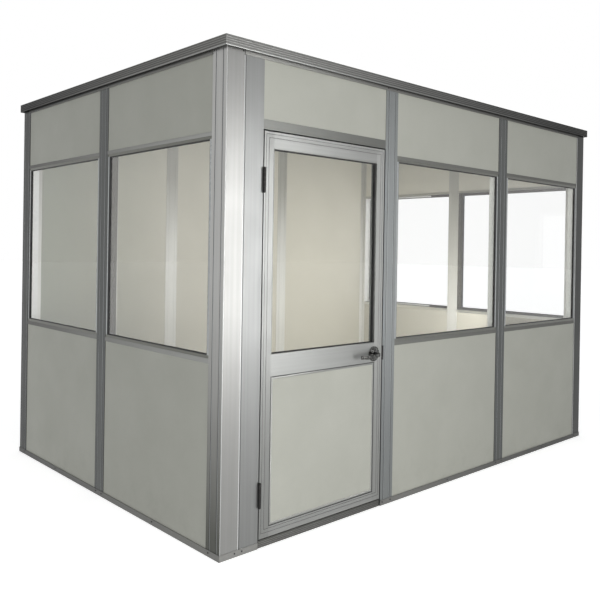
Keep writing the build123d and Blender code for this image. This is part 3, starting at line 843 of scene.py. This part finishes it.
# Beads that hold the door's lower panel, and the dark joint outside them, on both faces.
PANEL_BEADS = (
    [(0.0018, 0.0032), (0.0018, 0.0010), (0.0026, 0.0002), (0.0110, 0.0002), (0.0132, 0.0020),
     (0.0132, 0.0032)],
    [(0.0018, 0.0408), (0.0132, 0.0408), (0.0132, 0.0420), (0.0110, 0.0438), (0.0026, 0.0438),
     (0.0018, 0.0430)],
)
PANEL_SEALS = (
    [(-0.0024, 0.0004), (-0.0024, -0.0003), (0.0020, -0.0003), (0.0020, 0.0030), (0.0001, 0.0030),
     (0.0001, 0.0004)],
    [(-0.0002, 0.0410), (0.0019, 0.0410), (0.0019, 0.0426), (-0.0002, 0.0426)],
)
bm = bmesh.new()
for profile in PANEL_BEADS:
    add_loop(bm, "front", *DOOR_PANEL, profile)
finish_piece("door_panel_beads", bm, "bead", "door", 50)
bm = bmesh.new()
for profile in PANEL_SEALS:
    add_loop(bm, "front", *DOOR_PANEL, profile)
finish_piece("door_panel_seal", bm, "rubber", "door", 50)

# Fine raised lines of the door's stiles and rails, and flat dark lines beside them as the painted shade of
# grooves.
RAISED_LINE = [(0.0, 0.0004), (0.0004, -0.0006), (0.0018, -0.0006), (0.0022, 0.0004)]
DARK_LINE = [(0.0024, 0.0002), (0.0024, -0.0002), (0.0042, -0.0002), (0.0042, 0.0002)]
bm_line = bmesh.new()
bm_dark = bmesh.new()
for inset in (0.010, 0.028):
    box = (LEAF_LEFT + inset, LEAF_RIGHT - inset, LEAF_BOTTOM + inset + 0.012, LEAF_TOP - inset)
    add_loop(bm_line, "front", *box, RAISED_LINE)
    add_loop(bm_dark, "front", *box, DARK_LINE)
finish_piece("door_rail_lines", bm_line, "bead", "door", 60)
finish_piece("door_rail_groove_shade", bm_dark, "rubber", "door", 60)

# Dark strips on the floors of the posts' flutes as painted shade, and a pale raised line beside each as a
# painted highlight.
bm_dark = bmesh.new()
bm_line = bmesh.new()
for wall, count in BAYS.items():
    for k in range(1, count):
        for side in (-1, 1):
            u = k * BAY + side * HALF_BOX
            add_box(bm_dark, wall, u - 0.0019, u + 0.0019, 0.0010, 0.0013, TRACK_Z, TOP_LINE)
            post_bead(bm_line, wall, u - side * 0.0042, TRACK_Z, TOP_LINE)
    if wall in ("left", "right"):
        for u in (0.027, 0.085, WIDTH - 0.027, WIDTH - 0.085):
            add_box(bm_dark, wall, u - 0.0026, u + 0.0026, 0.0008, 0.0013, TRACK_Z, CORNER_FLUTE_TOP)
            post_bead(bm_line, wall, u + 0.0042, TRACK_Z, CORNER_FLUTE_TOP)
finish_piece("post_flute_shade_floors", bm_dark, "rubber", "office")
finish_piece("post_flute_highlight_lines", bm_line, "stop_z", "office", 60)


# ---------------------------------------------------------------- stage
def seen_directly(tree):
    """1 for what the camera, gloss and glass see, and 0 for the light that falls on the object."""
    path = tree.nodes.new("ShaderNodeLightPath")
    seen = path.outputs["Is Camera Ray"]
    for kind in ("Is Glossy Ray", "Is Transmission Ray"):
        node = tree.nodes.new("ShaderNodeMath")
        node.operation = "MAXIMUM"
        tree.links.new(seen, node.inputs[0])
        tree.links.new(path.outputs[kind], node.inputs[1])
        seen = node.outputs[0]
    return seen


def floor_material():
    """A pale matt floor that keeps the shadow and reads white to the camera, gloss and glass."""
    material = bpy.data.materials.new("studio_floor")
    material.use_nodes = True
    tree = material.node_tree
    tree.nodes.clear()
    out = tree.nodes.new("ShaderNodeOutputMaterial")
    matt = tree.nodes.new("ShaderNodeBsdfPrincipled")
    matt.inputs["Base Color"].default_value = grey(0.80)
    matt.inputs["Roughness"].default_value = 0.9
    strength = tree.nodes.new("ShaderNodeMath")
    strength.operation = "MULTIPLY"
    strength.inputs[1].default_value = 0.66
    glow = tree.nodes.new("ShaderNodeEmission")
    both = tree.nodes.new("ShaderNodeAddShader")
    tree.links.new(seen_directly(tree), strength.inputs[0])
    tree.links.new(strength.outputs[0], glow.inputs["Strength"])
    tree.links.new(matt.outputs[0], both.inputs[0])
    tree.links.new(glow.outputs[0], both.inputs[1])
    tree.links.new(both.outputs[0], out.inputs[0])
    return material


floor_mesh = bpy.data.meshes.new("studio_floor")
floor_mesh.from_pydata([(-60, -60, 0), (60, -60, 0), (60, 60, 0), (-60, 60, 0)], [], [(0, 1, 2, 3)])
floor_mesh.materials.append(floor_material())
floor = bpy.data.objects.new("studio_floor", floor_mesh)
scene.collection.objects.link(floor)

# The world lights the object softly, and is white where it is seen.
world = bpy.data.worlds.new("studio")
scene.world = world
world.use_nodes = True
tree = world.node_tree
tree.nodes.clear()
world_out = tree.nodes.new("ShaderNodeOutputWorld")
ambient = tree.nodes.new("ShaderNodeBackground")
ambient.inputs["Color"].default_value = (0.97, 0.985, 1.0, 1)
ambient.inputs["Strength"].default_value = 0.43
white = tree.nodes.new("ShaderNodeBackground")
white.inputs["Color"].default_value = grey(1.0)
white.inputs["Strength"].default_value = 1.0
blend = tree.nodes.new("ShaderNodeMixShader")
tree.links.new(seen_directly(tree), blend.inputs[0])
tree.links.new(ambient.outputs[0], blend.inputs[1])
tree.links.new(white.outputs[0], blend.inputs[2])
tree.links.new(blend.outputs[0], world_out.inputs[0])


def area_light(name, place, target, size, power, color=(1, 1, 1), spread=180, diffuse=True, glossy=True):
    """A rectangular lamp that neither the camera nor the glass shows."""
    data = bpy.data.lights.new(name, "AREA")
    data.shape = "RECTANGLE"
    data.size, data.size_y = size
    data.energy = power
    data.color = color
    data.spread = math.radians(spread)
    obj = bpy.data.objects.new(name, data)
    obj.location = place
    obj.rotation_euler = (Vector(target) - Vector(place)).to_track_quat("-Z", "Y").to_euler()
    obj.visible_camera = False
    obj.visible_transmission = False
    obj.visible_diffuse = diffuse
    obj.visible_glossy = glossy
    scene.collection.objects.link(obj)


area_light("key", (-2.9, -5.4, 1.05), (-1.2, -1.2, 0.95), (3.0, 1.7), 124, color=(1.0, 0.99, 0.975))
# Sheen on the metal by the near corner, and nothing else.
area_light(
    "edge", (1.30, -5.30, 1.45), (-1.70, -1.22, 1.25), (0.9, 2.8), 15.5, spread=70, diffuse=False
)
area_light("fill", (-5.0, 2.5, 0.40), (-1.8, 0.8, 0.45), (2.0, 0.8), 17, glossy=False)
area_light(
    "room", (0.95, -0.55, 1.00), (0.75, 1.15, 0.85), (1.3, 0.7), 14, color=(1.0, 0.985, 0.95),
    glossy=False,
)

# ---------------------------------------------------------------- camera
# Fitted to the photograph's straight edges: lengths in its pixels, angles in degrees.
PICTURE = 600
FOCAL = 711.6
AXIS_X, AXIS_Y = 299.4, 252.5
SENSOR = 36.0
yaw, pitch, roll = math.radians(42.736), math.radians(-0.255), math.radians(0.911)
forward = Vector((math.sin(yaw) * math.cos(pitch), math.cos(yaw) * math.cos(pitch), math.sin(pitch)))
level = Vector((math.cos(yaw), -math.sin(yaw), 0))
upright = level.cross(forward)
right = level * math.cos(roll) + upright * math.sin(roll)
up = upright * math.cos(roll) - level * math.sin(roll)
camera_data = bpy.data.cameras.new("camera")
camera_data.sensor_width = SENSOR
camera_data.lens = FOCAL / PICTURE * SENSOR
camera_data.shift_x = (PICTURE / 2 - AXIS_X) / PICTURE
camera_data.shift_y = (AXIS_Y - PICTURE / 2) / PICTURE
camera_data.clip_end = 300
camera = bpy.data.objects.new("camera", camera_data)
scene.collection.objects.link(camera)
turn = Matrix((right, up, -forward)).transposed().to_4x4()
camera.matrix_world = Matrix.Translation((-3.8615, -3.9490, 1.5000)) @ turn
scene.camera = camera

scene.view_settings.view_transform = "Standard"
